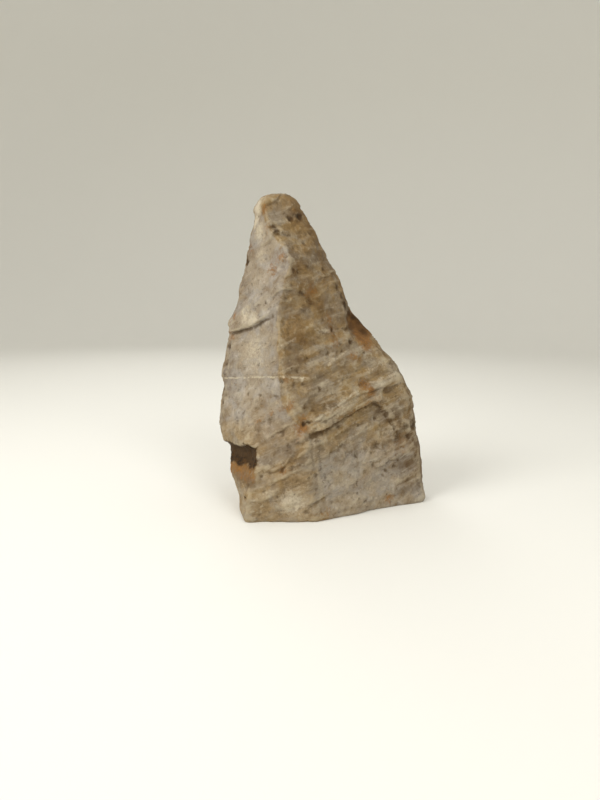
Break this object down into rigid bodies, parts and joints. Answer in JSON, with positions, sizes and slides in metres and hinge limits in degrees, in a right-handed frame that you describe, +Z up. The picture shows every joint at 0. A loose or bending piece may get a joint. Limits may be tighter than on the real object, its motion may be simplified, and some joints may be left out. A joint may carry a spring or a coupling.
{
  "type": "block of raw soapstone",
  "caption": "Upright raw soapstone carving block with a sawn flat foot, a narrow off-centre spire, a sloping shoulder and broken ledges.",
  "frame": {"origin": "centre of the block's box, on the ground at its sawn foot", "axes": "+Z up from the foot to the crown, +X to the right along the wider side towards the shoulder, -Y to the front"},
  "size_m": [0.119, 0.0766, 0.1675],
  "materials": {
    "soapstone": "raw, dry and chalky, in layers of pale talc and brown rust"
  },
  "bodies": {
    "root": {"stone": "soapstone"}
  },
  "joints": []
}
